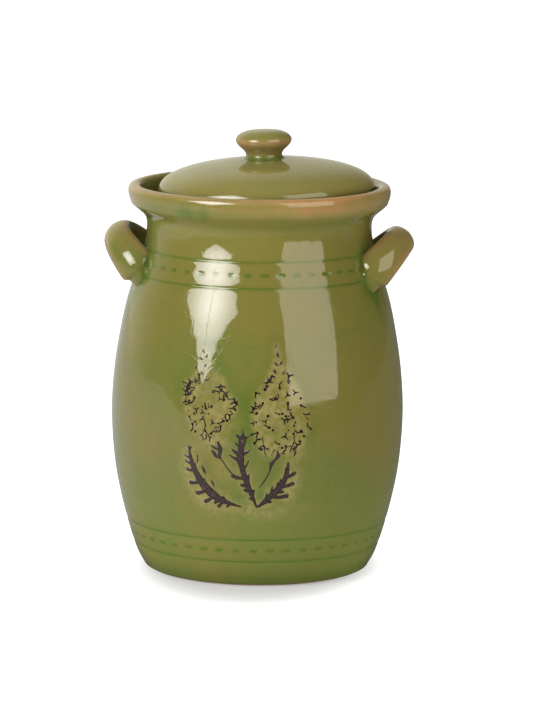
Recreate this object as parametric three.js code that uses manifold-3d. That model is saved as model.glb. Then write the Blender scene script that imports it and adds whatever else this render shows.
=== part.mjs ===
// A five litre ceramic fermenting crock with a water-sealed lid.
//
// The belly is one thrown pot. A channel that holds the sealing water is luted on its neck, and the
// lid's skirt stands in it. Two ear handles are luted on the shoulder, and two half-moon stones lie
// on the floor inside, ready to hold the food under its brine.
//
// Millimetres, +Z up. The origin is the middle of the foot, on the surface that the crock stands on.
// +X runs from the left handle to the right one, and the decorated front faces -Y.

import * as THREE from 'three';
import { mergeVertices } from 'three/addons/utils/BufferGeometryUtils.js';
import Module from 'manifold-3d';

// ---- Driving dimensions ----

const SEAM = 0.3; // the gap that luted or resting pieces keep
const TURNS = 56; // segments round the big turned pieces

// The belly's outline: [height, radius] pairs from the foot to the shoulder.
const FOOT_RADIUS = 70.9;
const BELLY = [
  [2.6, 76.2], [14, 82], [36, 88.8], [63, 94.9], [88, 97.8], [112, 98.4],
  [136, 96.8], [160, 93.3], [183, 88.4], [201, 82.7], [216, 78.3],
];
const NECK_RADIUS = 76.2;
const NECK_START = 225;
const NECK_TOP = 240.8;
const WALL = 6.5;
const FLOOR = 9; // height of the floor inside
const FLOOR_CORNER = 12;
const FOOT_RECESS_RADIUS = 57;
const FOOT_RECESS = 2;

// The channel round the mouth.
const MOUTH_RADIUS = 57;
const WEIR_RADIUS = 61.8; // outside of the inner wall, which keeps the water out of the crock
const WEIR_TOP = 262;
const CHANNEL_FLOOR = 245.7;
const CHANNEL_RADIUS = 79.4; // inside of the outer wall
const RIM_FLARE_RADIUS = 83.7; // outside of the flare under the rim, level with the channel's floor
const RIM_RADIUS = 88.2;
const RIM_BULGE = 256.6; // height at which the rim is widest
const RIM_TOP = 260.7;
const RIM_CREST_RADIUS = 83;

// The lid. It lies a little off centre and leans on one side, as a loose lid does in a wide channel.
const LID_RADIUS = 72.7;
const LID_SHIFT = 4.4;
const LID_LEAN = THREE.MathUtils.degToRad(1.7);
const LID_BULGE = 258.6; // height at which the lid is widest
const LID_SHOULDER = 270.1; // height of the lid's shoulder, before the crown is added
const LID_CROWN = 8.7; // how far the middle of the lid would swell above its shoulder
const KNOB_SEAT = 14; // radius of the flat that the knob stands on
const LID_TOP = LID_SHOULDER + lidCrown(0);
const LID_SQUARENESS = 5.6; // exponent of the lid's shoulder: 2 is round, higher is flatter on top
const LID_THICKNESS = 5; // in the middle
const LID_HOLLOW_TOP = 267; // height of the underside beside the skirt
const SKIRT_RADIUS = 71.4;
const SKIRT_THICKNESS = 4;
const SKIRT_BOTTOM = 249;

// The knob's outline: [height over the lid, radius] pairs from its foot to its top edge.
const KNOB = [
  [0, 13.4], [1.1, 12.5], [2.3, 12.2], [3.6, 12.5], [5.4, 13.8], [7.8, 16.4], [10.2, 18.3],
  [12.2, 18.8], [14.2, 18.1], [16.2, 16], [17.7, 12.6],
];
const KNOB_HEIGHT = 18.7;
const KNOB_SHIFT = -1; // the knob is luted on a little off the middle of the lid

// The ear handles: a strap bent into a half ring, standing out and up from the shoulder.
const HANDLE_ROOT = [77.6, 205.5]; // [out, up] of the middle of the strap where it meets the crock
const HANDLE_RISE = THREE.MathUtils.degToRad(47);
const HANDLE_SPREAD = 29; // half the distance between the strap's two ends
const HANDLE_REACH = 27.4;
const HANDLE_TAIL = 14; // how far the strap is made into the wall before it is trimmed
const STRAP_WIDTH = 20.2;
const STRAP_THICKNESS = 11.2;
const STRAP_FLARE = 1.25; // how much wider the strap is at its ends than at its middle
const STRAP_SQUARENESS = 2.2; // exponent of the strap's oval section: 2 is an ellipse

// The weighting stones: two halves of a disc that passes through the mouth.
const STONE_RADIUS = 52;
const STONE_GAP = 6;
const STONE_THICKNESS = 16;
const STONE_EDGE = 2;

// ---- Colours ----

const GLAZE = new THREE.Color(0x8a8c46);
const RIM_GLAZE = new THREE.Color(0x9a8148);
const STONE_CLAY = new THREE.Color(0xcfc2a8);

const glazed = (color) => new THREE.MeshStandardMaterial({ color, roughness: 0.15, metalness: 0 });
const unglazed = (color) => new THREE.MeshStandardMaterial({ color, roughness: 0.8, metalness: 0 });

// ---- Turned shapes ----

const point = (radius, height) => new THREE.Vector2(radius, height);

// A smooth run of points through [height, radius] pairs.
function turnedCurve(pairs, count) {
  return new THREE.SplineCurve(pairs.map(([height, radius]) => point(radius, height))).getPoints(count);
}

// Points on a quarter turn from angle a to angle b (degrees) round a centre.
function roundEdge(centreRadius, centreHeight, size, a, b, count = 3) {
  const points = [];
  for (let i = 0; i <= count; i += 1) {
    const angle = THREE.MathUtils.degToRad(a + ((b - a) * i) / count);
    points.push(point(centreRadius + size * Math.cos(angle), centreHeight + size * Math.sin(angle)));
  }
  return points;
}

// Turns an outline round the Z axis.
function turn(outline, segments = TURNS) {
  const geometry = new THREE.LatheGeometry(outline, segments);
  geometry.rotateX(Math.PI / 2);
  return geometry;
}

function bellyOutline() {
  const pairs = [...BELLY, [NECK_START, NECK_RADIUS], [NECK_TOP, NECK_RADIUS]];
  return turnedCurve(pairs, 23);
}

// ---- Solids for cutting ----

const wasm = await Module();
wasm.setup();

function toSolid(geometry) {
  const bare = geometry.clone();
  bare.deleteAttribute('normal');
  bare.deleteAttribute('uv');
  const merged = mergeVertices(bare, 1e-4);
  return new wasm.Manifold(new wasm.Mesh({
    numProp: 3,
    vertProperties: new Float32Array(merged.attributes.position.array),
    triVerts: new Uint32Array(merged.index.array),
  }));
}

function toGeometry(solid) {
  const mesh = solid.getMesh();
  const geometry = new THREE.BufferGeometry();
  geometry.setAttribute('position', new THREE.BufferAttribute(new Float32Array(mesh.vertProperties), 3));
  geometry.setIndex(new THREE.BufferAttribute(new Uint32Array(mesh.triVerts), 1));
  geometry.computeVertexNormals();
  return geometry;
}

// ---- The crock ----

function crockBody() {
  const outside = [
    point(0, FOOT_RECESS),
    point(FOOT_RECESS_RADIUS - 2, FOOT_RECESS),
    point(FOOT_RECESS_RADIUS, 0),
    point(FOOT_RADIUS, 0),
    point(FOOT_RADIUS + 3.2, 0.8),
    ...bellyOutline(),
  ];
  const insideBelly = [[NECK_START - 6, NECK_RADIUS], [201, 82.7], [178, 89.6], [150, 95], [112, 98.4],
    [75, 96.6], [45, 91.3], [FLOOR + FLOOR_CORNER, 84.6]];
  const inside = [
    point(NECK_RADIUS - WALL, NECK_TOP),
    ...turnedCurve(insideBelly.map(([height, radius]) => [height, radius - WALL]), 9),
    ...roundEdge(84.6 - WALL - FLOOR_CORNER, FLOOR + FLOOR_CORNER, FLOOR_CORNER, -20, -90),
    point(0, FLOOR),
  ];
  return turn([...outside, ...inside]);
}

// The flat ring on the neck that is the floor of the water channel and the edge of the mouth.
function channelShelf() {
  const bottom = NECK_TOP + SEAM;
  const top = CHANNEL_FLOOR;
  return turn([
    point(MOUTH_RADIUS, bottom + 1.5),
    point(MOUTH_RADIUS + 1.5, bottom),
    point(NECK_RADIUS + 0.6, bottom),
    point(RIM_FLARE_RADIUS - 2.6, bottom + 2.1),
    point(RIM_FLARE_RADIUS, top),
    point(MOUTH_RADIUS, top),
    point(MOUTH_RADIUS, bottom + 1.5),
  ]);
}

// The outer wall of the channel, which rolls out as the crock's rim.
function rimWall() {
  const foot = CHANNEL_FLOOR + SEAM;
  return turn([
    point(CHANNEL_RADIUS - 3.2, foot),
    point(RIM_FLARE_RADIUS + 0.3, foot),
    ...turnedCurve([[248, 86.2], [252.6, 87.8], [RIM_BULGE, RIM_RADIUS],
      [259.4, 87.3], [RIM_TOP - 0.2, 85], [RIM_TOP, RIM_CREST_RADIUS]], 9),
    point(CHANNEL_RADIUS + 1, RIM_TOP - 1.2),
    point(CHANNEL_RADIUS, RIM_TOP - 3.6),
    point(CHANNEL_RADIUS - 1.2, foot + 4),
    point(CHANNEL_RADIUS - 3.2, foot),
  ]);
}

// The inner wall of the channel, which keeps the water out of the crock.
function mouthWall() {
  const foot = CHANNEL_FLOOR + SEAM;
  return turn([
    point(MOUTH_RADIUS, foot),
    point(WEIR_RADIUS, foot),
    ...roundEdge(WEIR_RADIUS - 1.8, WEIR_TOP - 1.8, 1.8, 0, 90),
    ...roundEdge(MOUTH_RADIUS + 1.8, WEIR_TOP - 1.8, 1.8, 90, 180),
    point(MOUTH_RADIUS, foot),
  ]);
}

// ---- The handles ----

// Half a ring in the XY plane with straight tails, so that the strap runs well into the wall.
function handleLoop() {
  const points = [new THREE.Vector3(-HANDLE_TAIL, -HANDLE_SPREAD, 0)];
  const steps = 16;
  for (let i = 0; i <= steps; i += 1) {
    const angle = (Math.PI * i) / steps - Math.PI / 2;
    points.push(new THREE.Vector3(HANDLE_REACH * Math.cos(angle), HANDLE_SPREAD * Math.sin(angle), 0));
  }
  points.push(new THREE.Vector3(-HANDLE_TAIL, HANDLE_SPREAD, 0));
  return new THREE.CatmullRomCurve3(points, false, 'centripetal');
}

// The strap's section: a squared oval, wide along the shape's x.
function strapSection() {
  const sides = 16;
  const power = 2 / STRAP_SQUARENESS;
  const swell = (value) => Math.sign(value) * Math.abs(value) ** power;
  const points = [];
  for (let i = 0; i < sides; i += 1) {
    const angle = (2 * Math.PI * i) / sides;
    points.push(point(
      (STRAP_WIDTH / 2) * swell(Math.cos(angle)),
      (STRAP_THICKNESS / 2) * swell(Math.sin(angle)),
    ));
  }
  return new THREE.Shape(points);
}

function earHandle(crockSolid) {
  const bar = new THREE.ExtrudeGeometry(strapSection(), {
    extrudePath: handleLoop(),
    steps: 26,
    bevelEnabled: false,
  });
  const position = bar.attributes.position;
  for (let i = 0; i < position.count; i += 1) {
    const along = THREE.MathUtils.clamp(position.getX(i) / HANDLE_REACH, 0, 1);
    position.setZ(i, position.getZ(i) * THREE.MathUtils.lerp(STRAP_FLARE, 1, along));
  }
  bar.rotateY(-HANDLE_RISE);
  bar.translate(HANDLE_ROOT[0], 0, HANDLE_ROOT[1]);
  return toGeometry(toSolid(bar).subtract(crockSolid));
}

// The crock's outside as a plug, a seam larger, that trims the ends of the handles.
function handleCutter() {
  const skin = bellyOutline().map((p) => point(p.x + SEAM, p.y));
  return toSolid(turn([point(0, 2), ...skin, point(0, NECK_TOP)]));
}

// ---- The lid ----

function lidCrown(across) {
  return LID_CROWN * (1 - Math.max(across, KNOB_SEAT / LID_RADIUS) ** 1.5);
}

function lidDome() {
  const top = [];
  const steps = 12;
  for (let i = 0; i <= steps; i += 1) {
    const across = Math.sin((Math.PI / 2) * (i / steps)) ** 0.6;
    const rise = Math.sqrt(Math.max(0, 1 - across ** LID_SQUARENESS));
    top.push(point(LID_RADIUS * across, LID_BULGE + (LID_SHOULDER - LID_BULGE) * rise + lidCrown(across)));
  }
  const skirtInside = SKIRT_RADIUS - SKIRT_THICKNESS;
  const hollow = skirtInside - 7;
  const swell = LID_TOP - LID_THICKNESS - LID_HOLLOW_TOP;
  const half = SKIRT_THICKNESS / 2;
  const outline = [
    ...[0, 20, 45, hollow].map((radius) => point(radius, LID_HOLLOW_TOP + swell * (1 - (radius / hollow) ** 2))),
    ...roundEdge(hollow, LID_HOLLOW_TOP - 7, 7, 65, 0, 2),
    ...roundEdge(SKIRT_RADIUS - half, SKIRT_BOTTOM + half, half, -180, 0, 4),
    point(SKIRT_RADIUS, LID_BULGE - 3),
    ...top.reverse(),
  ];
  return turn(outline, 48);
}

function lidKnob() {
  const outline = [
    point(0, LID_TOP + SEAM),
    ...turnedCurve(KNOB.map(([height, radius]) => [LID_TOP + SEAM + height, radius]), 13),
    point(0, LID_TOP + SEAM + KNOB_HEIGHT),
  ];
  return turn(outline, 28);
}

// ---- The weighting stones ----

function halfMoon() {
  const radius = STONE_RADIUS - STONE_EDGE;
  const start = Math.asin((STONE_GAP / 2 + STONE_EDGE) / radius);
  const shape = new THREE.Shape();
  shape.absarc(0, 0, radius, start - Math.PI / 2, Math.PI / 2 - start, false);
  shape.closePath();
  const stone = new THREE.ExtrudeGeometry(shape, {
    depth: STONE_THICKNESS - 2 * STONE_EDGE,
    curveSegments: 16,
    bevelThickness: STONE_EDGE,
    bevelSize: STONE_EDGE,
    bevelSegments: 2,
  });
  stone.translate(0, 0, FLOOR + SEAM + STONE_EDGE);
  return stone;
}

// ---- Assembly ----

const crock = new THREE.Group();

function add(group, name, geometry, material, turnAngle = 0) {
  const mesh = new THREE.Mesh(geometry, material);
  mesh.name = name;
  mesh.rotation.z = turnAngle;
  group.add(mesh);
}

add(crock, 'crock_body', crockBody(), glazed(GLAZE));
add(crock, 'channel_shelf', channelShelf(), glazed(GLAZE));
add(crock, 'rim_wall', rimWall(), glazed(RIM_GLAZE));
add(crock, 'mouth_wall', mouthWall(), glazed(GLAZE));

const handle = earHandle(handleCutter());
add(crock, 'right_handle', handle, glazed(GLAZE));
add(crock, 'left_handle', handle, glazed(GLAZE), Math.PI);

const lid = new THREE.Group();
lid.position.set(LID_SHIFT, 0, LID_BULGE);
lid.rotation.y = -LID_LEAN;
const lidAtOrigin = new THREE.Group();
lidAtOrigin.position.z = -LID_BULGE;
lid.add(lidAtOrigin);
crock.add(lid);
add(lidAtOrigin, 'lid_dome', lidDome(), glazed(GLAZE));
add(lidAtOrigin, 'lid_knob', lidKnob().translate(KNOB_SHIFT, 0, 0), glazed(GLAZE));

add(crock, 'weight_stone_right', halfMoon(), unglazed(STONE_CLAY));
add(crock, 'weight_stone_left', halfMoon(), unglazed(STONE_CLAY), Math.PI);

export default crock;
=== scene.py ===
import functools
import math

import bmesh
import bpy
import numpy as np
from bpy.props import FloatProperty, FloatVectorProperty, IntProperty, PointerProperty
from mathutils import Matrix, Vector
from mathutils.bvhtree import BVHTree


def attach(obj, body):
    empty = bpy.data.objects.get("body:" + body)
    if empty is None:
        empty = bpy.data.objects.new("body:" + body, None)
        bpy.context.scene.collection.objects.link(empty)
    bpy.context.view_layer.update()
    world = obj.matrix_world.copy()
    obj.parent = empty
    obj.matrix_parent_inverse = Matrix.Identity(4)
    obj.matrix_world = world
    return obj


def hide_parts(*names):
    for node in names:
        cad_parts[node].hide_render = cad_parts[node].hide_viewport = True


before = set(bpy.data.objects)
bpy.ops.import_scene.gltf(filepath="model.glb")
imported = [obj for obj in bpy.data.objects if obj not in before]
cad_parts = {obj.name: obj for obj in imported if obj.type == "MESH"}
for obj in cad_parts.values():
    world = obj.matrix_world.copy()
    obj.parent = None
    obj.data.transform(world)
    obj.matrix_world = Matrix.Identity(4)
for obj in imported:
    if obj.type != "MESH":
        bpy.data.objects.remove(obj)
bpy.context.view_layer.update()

bl_info = {
    "name": "Fermenting Crock",
    "version": (1, 0, 0),
    "blender": (4, 5, 0),
    "location": "3D View > Sidebar > Crock",
    "description": "Glazed stoneware crock with a water-sealed lid, ear handles and weighting stones",
    "category": "Add Mesh",
}

# Lengths in the tables below are millimetres; MM turns them into metres. The origin is the middle of
# the foot, +Z is up, and the decorated front faces -Y.
MM = 0.001

# ---- The crock's outlines, as (height, radius) from the foot up ----

BELLY = [(2.6, 76.2), (14, 82), (36, 88.8), (63, 94.9), (88, 97.8), (112, 98.4), (136, 96.8),
         (160, 93.3), (183, 88.4), (201, 82.7), (216, 78.35), (223.5, 76.5), (228, 75.85),
         (233, 75.6), (240.8, 75.5)]
BELLY_INSIDE = [(219, 76.2), (201, 82.7), (178, 89.6), (150, 95), (112, 98.4), (75, 96.6),
                (45, 91.3), (21, 84.6)]
WALL = 6.5
FLOOR = 9.0
DASH_COUNT = 46  # the default number in a row
GROOVES = (218.1, 201.3, 33.8, 18.2)  # incised lines, two above and two below
DASHES = ((209.7, DASH_COUNT), (26.2, 48))  # rows of pressed dashes: height and how many go round
RIM = [(248, 86.2), (252.6, 87.8), (256.6, 88.2), (259.4, 87.3), (260.5, 85), (260.7, 83)]

# Rows of points up the belly, as (from, to, step): close together in the bands, wide apart between them.
ROWS = ((2.6, 15.5, 1.6), (15.5, 36.6, 0.5), (36.6, 168, 2.05), (168, 198.5, 2.4), (198.5, 221.2, 0.5),
        (221.2, 240.8, 2.2))
NECK_ROW = 240.6

# Outlines as (radius, height), up the outside and down the inside.
UNDERSIDE = [(0, 2), (20, 2), (42, 2), (56, 2), (58.4, 1.7), (59.4, 1.2), (66, 1.2), (73.2, 1.2),
             (74.7, 1.4), (75.6, 1.9)]
NECK_EDGE = [(75.2, 240.9), (72.5, 240.95)]
NECK_INSIDE = [(69.7, 240.8), (69.7, 233), (69.7, 226)]
FLOOR_CORNER = (66.1, 21)
FOOT_RING = [(56.6, 1.7), (57.2, 0.5), (58.2, 0.05), (59.4, 0), (64, 0), (69.8, 0), (71.4, 0.12),
             (72.8, 0.5), (74.0, 1.1), (74.2, 1.5), (73.6, 2.2), (66, 2.3), (57.6, 2.3), (56.6, 1.7)]
CHANNEL_UNDER = [(57, 242.6), (57.4, 241.6), (58.5, 241.1), (66, 241.0), (73.6, 240.9), (74.2, 238)]
RIM_LIP = [(74.9, 233.4), (75.45, 232.6), (75.62, 233.6), (75.75, 234.8), (76.0, 236.4), (76.5, 238.0),
           (77.3, 239.6), (78.4, 241.1), (79.9, 242.5), (81.6, 243.9), (83.4, 245.3), (85.0, 246.8)]
CHANNEL = [(81.7, 260.4), (80.6, 259.7), (79.8, 258.6), (79.3, 257.1), (78.9, 254), (78.3, 250.6),
           (77.6, 248), (76.3, 246.3), (74.6, 245.8), (70, 245.7), (65, 245.7), (62.9, 245.9),
           (62.1, 246.6), (61.8, 248), (61.8, 254)]
CHANNEL_INSIDE = [(57, 252), (57, 242.6)]
MOUTH_EDGES = ((60.2, 260.4), (58.6, 260.4), 1.6)  # centres and size of the inner wall's two round edges

# The lid and its knob; the lid lies off centre and leans.
LID_RADIUS, LID_BULGE, LID_SHOULDER = 72.7, 258.6, 270.1
LID_CROWN, LID_SQUARENESS, CROWN_POWER = 8.7, 5.6, 1.5
KNOB_SEAT = 14.0  # radius of the flat that the knob stands on
LID_TOP = LID_SHOULDER + LID_CROWN * (1 - (KNOB_SEAT / LID_RADIUS) ** CROWN_POWER)
LID_THICKNESS, LID_HOLLOW_TOP, LID_HOLLOW_RADIUS, LID_HOLLOW_CORNER = 5.0, 267.0, 60.4, 7
SKIRT = [(67.4, 256), (67.4, 252), (69.4, 251), (71.4, 253), (71.4, 254.6), (71.6, 255.6), (72.2, 256.8)]
LID_SHIFT, LID_LEAN = 4.4, 1.7
KNOB = [(0, 13.4), (1.1, 12.5), (2.3, 12.2), (3.6, 12.5), (5.4, 13.8), (7.8, 16.4), (10.2, 18.3),
        (12.2, 18.8), (14.2, 18.1), (16.2, 16), (17.7, 12.6)]
KNOB_HEIGHT, KNOB_SHIFT, KNOB_GAP = 18.7, -1.0, 0.3
KNOB_BASE = [(0, -1.5), (10, -1.5), (14.6, -0.7), (14.2, 0.1)]  # (radius, height over the lid)
KNOB_TIP = [(11.2, -0.66), (9.4, -0.40), (7, -0.20), (4.5, -0.07), (2.2, -0.01), (0, 0)]  # under the top

# ---- The handles ----

HANDLE_ROOT = (77.6, 205.5)
HANDLE_RISE = math.radians(47)
HANDLE_SPREAD, HANDLE_REACH, HANDLE_TAIL = 29.0, 27.4, 13.0
STRAP_WIDTH, STRAP_THICKNESS, STRAP_FLARE, STRAP_SQUARENESS = 20.2, 11.6, 1.34, 1.8
HANDLE_BEND, HANDLE_STRAIGHT = 84, 13  # points round the bend and along each straight end
STRAP_SIDES = 44  # points round the strap

# ---- The weighting stones ----

STONE_RADIUS, STONE_GAP, STONE_THICKNESS, STONE_BOTTOM = 52.0, 6.0, 16.0, 9.3
STONE_POINTS, STONE_EDGE = 72, 2.0
SHARP = math.radians(25)  # edges that turn by more are rounded

# ---- The sprig on the front, in millimetres along and up the belly's skin ----

SKIN_RADIUS = 97.0  # lengths along the skin are turned into angles at this radius
FRONT = 5.0  # degrees round from -Y, where the middle of the sprig is

# Each leaf is a spine of (along, up, half width) points from tip to stalk, and lobes of
# (share of the spine, degrees off the spine, length, half width at the neck, half width at the tip).
LEAF_LEFT = (
    [(-45.9, 97.0, 0.5), (-44.8, 90, 1.1), (-42.6, 82.4, 1.9), (-38.2, 74.2, 2.6), (-32.0, 67.2, 3.2),
     (-25.6, 62.6, 2.6), (-18.6, 60.0, 1.3), (-10.6, 57.8, 0.5)],
    [(0.07, 56, 2.8, 0.5, 0.4), (0.17, -72, 4.6, 0.9, 0.6), (0.24, -70, 4.8, 0.9, 0.8),
     (0.33, -80, 5.2, 0.9, 1.3), (0.46, -84, 7.4, 0.9, 1.5), (0.55, -92, 8.0, 0.9, 1.5),
     (0.66, -96, 7.8, 0.9, 1.4), (0.72, -92, 4.2, 1.0, 1.0), (0.79, -98, 5.0, 0.8, 1.3),
     (0.88, -84, 3.2, 0.6, 0.8), (0.30, 58, 3.6, 0.9, 0.4), (0.50, 62, 4.6, 0.9, 0.4),
     (0.62, 64, 3.8, 0.8, 0.4), (0.84, 58, 4.4, 0.6, 0.4)],
)
LEAF_MIDDLE = (
    [(-9.4, 106.0, 1.6), (-9.2, 103.4, 2.9), (-10.0, 98.6, 1.7), (-10.6, 94.4, 2.2), (-10.8, 90.4, 2.6),
     (-9.8, 85.4, 1.7), (-7.4, 77.6, 2.0), (-4.4, 69.4, 1.7), (-1.6, 62.6, 1.0), (0.2, 58.0, 0.6)],
    [(0.09, 78, 5.2, 1.3, 0.3), (0.09, -78, 5.0, 1.3, 0.3), (0.25, -78, 5.4, 1.1, 0.3),
     (0.36, 76, 7.8, 1.4, 0.3), (0.38, -80, 6.8, 1.5, 0.3), (0.48, -72, 8.4, 1.2, 0.3),
     (0.60, 62, 7.6, 0.8, 0.4), (0.68, -82, 8.4, 0.9, 1.4), (0.75, -74, 4.4, 0.9, 1.2),
     (0.81, -68, 4.0, 0.8, 1.0), (0.90, -60, 3.4, 0.6, 0.7), (0.74, 40, 6.6, 0.7, 0.4),
     (0.86, 46, 4.2, 0.8, 0.8)],
)
LEAF_RIGHT = (
    [(20.8, 87.4, 0.9), (20.6, 81.6, 1.2), (18.4, 75.8, 1.8), (15.0, 70.4, 2.2), (10.0, 65.8, 2.2),
     (5.4, 61.2, 1.6), (1.4, 58.2, 0.9)],
    [(0.30, 52, 7.0, 1.0, 1.3), (0.48, 54, 8.8, 1.0, 1.3), (0.60, 52, 5.6, 0.9, 0.9),
     (0.70, 58, 11.2, 1.0, 1.5), (0.84, 60, 4.0, 0.7, 0.8), (0.32, -24, 7.8, 0.9, 0.6),
     (0.44, -52, 4.8, 0.8, 0.4), (0.56, -56, 5.4, 0.9, 0.5), (0.68, -54, 6.0, 0.9, 0.5),
     (0.80, -52, 5.2, 0.8, 0.4)],
)
# Single strokes: (along, up, half width) from one end to the other.
STALKS = [
    [(-23.8, 90.6, 0.35), (-19.4, 84.2, 0.4), (-15.6, 79.6, 0.45), (-13.2, 76.4, 0.3)],
    [(9.6, 85.4, 0.5), (7.4, 79.6, 0.35), (4.6, 75.0, 0.4), (2.2, 71.4, 0.25)],
    [(-25.4, 101.2, 0.8), (-23.8, 96.6, 1.5), (-24.6, 92.0, 1.1)],
    [(-29.8, 98.6, 0.5), (-27.0, 97.0, 1.0), (-24.6, 96.4, 0.9)],
    [(-29.4, 95.4, 0.7), (-27.2, 92.4, 1.4), (-24.2, 91.0, 0.9)],
    [(13.4, 96.2, 0.5), (14.2, 93.0, 1.3), (12.4, 90.6, 0.9), (10.6, 89.4, 0.6)],
    [(12.0, 90.4, 0.6), (9.8, 87.8, 1.4), (9.0, 84.6, 0.5)],
    [(-36.6, 104.6, 0.25), (-34.0, 111.6, 0.4), (-35.6, 118.0, 0.25)],
    [(5.8, 92.6, 0.25), (4.6, 99.4, 0.4), (3.6, 106.0, 0.25)],
    [(21.6, 94.6, 0.25), (23.2, 99.0, 0.45), (25.0, 104.2, 0.25)],
    [(-36.6, 84.6, 0.3), (-35.4, 81.6, 1.0), (-34.2, 79.0, 0.3)],
    [(-39.8, 91.8, 0.3), (-39.6, 88.4, 0.5), (-40.2, 86.4, 0.3)],
    [(-30.4, 75.4, 0.3), (-29.2, 73.0, 0.7), (-28.6, 70.6, 0.3)],
    [(-18.4, 67.0, 0.3), (-16.8, 64.8, 0.6), (-15.2, 66.6, 0.3)],
    [(-9.6, 110.4, 0.25), (-8.6, 107.6, 0.5), (-9.2, 105.0, 0.5)],
]
# Pieces of the sprig, with the (left, right, low, high) box that each one is drawn in.
LEAVES = (("leaf_left", LEAF_LEFT, (-53, -5, 52, 101)), ("leaf_middle", LEAF_MIDDLE, (-22, 6, 54, 113)),
          ("leaf_right", LEAF_RIGHT, (-2, 33, 54, 91)))
STALKS_BOX = (-50, 33, 70, 169)
# Outlines of the two flower heads, as (along, up) corners.
HEAD_LEFT = [(-37.6, 162), (-42.4, 151), (-42.6, 143), (-49.2, 139.6), (-49.6, 127), (-46.4, 116),
             (-42.0, 107.6), (-36.6, 101.4), (-31.0, 101), (-25.0, 107), (-19.4, 114.8),
             (-14.6, 122), (-14.6, 129), (-20.2, 133), (-23.4, 142.4), (-30.4, 147), (-33.2, 156)]
HEAD_RIGHT = [(12.6, 165), (11.4, 153), (7.6, 143.6), (-0.6, 133.6), (-3.0, 123), (-2.0, 112),
              (-0.6, 101.4), (6.8, 93.6), (17.0, 95), (24.6, 94.4), (29.4, 99), (33.2, 107.6),
              (33.4, 116.6), (30.2, 128), (26.0, 139), (20.2, 146.4), (16.6, 155.6)]
HEADS = (("flower_head_left", HEAD_LEFT, 4), ("flower_head_right", HEAD_RIGHT, 11))  # with their seeds
# Bracts at the top of each head: (along, up, degrees of turn, length).
BRACTS = [(12.4, 165.0, 62, 2.6), (13.6, 159.6, 112, 4.0), (12.6, 153.4, 128, 3.4),
          (15.8, 153.8, 50, 3.4), (11.8, 149.0, 112, 3.6), (17.6, 147.6, 58, 2.8),
          (8.6, 144.0, 38, 4.4), (20.8, 142.4, 96, 4.2), (5.8, 137.6, 118, 2.6),
          (-38.0, 160.4, 118, 2.8), (-35.4, 157.2, 70, 2.6), (-39.6, 155.6, 160, 3.2),
          (-35.8, 151.2, 62, 2.4), (-42.6, 149.6, 96, 2.6), (-38.2, 146.2, 130, 3.0),
          (-34.2, 142.2, 34, 4.2), (-42.4, 141.2, 104, 4.2), (-39.2, 139.8, 30, 2.4)]
# Pale and green patches of glaze round the sprig: (along, up, half length, half height, strength).
PALE_PATCHES = ((-31, 103, 13, 9, 1), (-16, 112, 6, 9, 1), (0, 55, 26, 5.5, 1), (27, 92, 6, 7, 0.8),
                (-22, 82, 5, 8, 0.8))
GREEN_PATCHES = ((-24, 71, 7, 4, 0.8), (-14, 64, 5, 4, 0.95), (3, 65, 3.6, 5, 0.9), (-33, 82, 4, 7, 0.7),
                 (8, 84, 5, 10, 0.7), (-9, 54, 3, 6, 0.55), (-7, 126, 7, 17, 0.6))
# Green runs and warm patches round the rim: (radians from the front, half width, strength).
RIM_RUNS = ((-0.50, 0.10, 0.9), (-0.34, 0.05, 0.7), (-0.80, 0.12, 0.5), (0.9, 0.08, 0.35),
            (1.9, 0.12, 0.8), (-2.3, 0.10, 0.7))
RIM_WARMTH = ((0.62, 0.55, 1), (2.6, 0.4, 0.5), (-1.3, 0.3, 0.4))


def table_curve(pairs, count):
    """Points on a smooth curve through (height, radius) pairs, as an array of (height, radius)."""
    knots = np.array(pairs, float)
    padded = np.vstack([2 * knots[0] - knots[1], knots, 2 * knots[-1] - knots[-2]])
    share = np.linspace(0, len(knots) - 1, count)
    part = np.minimum(share.astype(int), len(knots) - 2)
    t = (share - part)[:, None]
    a, b, c, d = (padded[part + k] for k in range(4))
    return 0.5 * (2 * b + (c - a) * t + (2 * a - 5 * b + 4 * c - d) * t**2 + (3 * b - a - 3 * c + d) * t**3)


SKIN = table_curve(BELLY, 600)


def skin_radius(height):
    """Radius of the belly's plain skin at a height, in millimetres."""
    return np.interp(height, SKIN[:, 0], SKIN[:, 1])


# ---- Settings that a user may change ----


class CrockShape(bpy.types.PropertyGroup):
    """Sizes of the thrown pot's small detail"""

    turns: IntProperty(name="Turns", description="Segments round the belly", default=424, min=64, max=430)
    groove: FloatProperty(name="Groove Depth", description="Depth of the incised lines",
                          default=0.00022, min=0, unit="LENGTH", precision=5)
    dash_depth: FloatProperty(name="Dash Depth", description="Depth of the pressed dashes",
                              default=0.00022, min=0, unit="LENGTH", precision=5)
    dash_share: FloatProperty(name="Dash Length", description="Share of the row that the dashes take up",
                              default=0.46, min=0.1, max=0.9, subtype="FACTOR")
    wobble: FloatProperty(name="Throwing Wobble", description="How far the skin strays from true round",
                          default=0.00035, min=0, unit="LENGTH", precision=5)
    relief: FloatProperty(name="Sprig Relief", description="How far the sprig's leaves stand off the skin",
                          default=0.00022, min=0, unit="LENGTH", precision=5)
    speck_gap: FloatProperty(name="Speck Spacing", description="Least distance between the flower specks",
                             default=0.0021, min=0.001, unit="LENGTH", precision=5)


def colour(name, description, value):
    """A colour setting in linear light."""
    return FloatVectorProperty(name=name, description=description, subtype="COLOR", size=3,
                               default=value, min=0, max=1)


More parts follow.
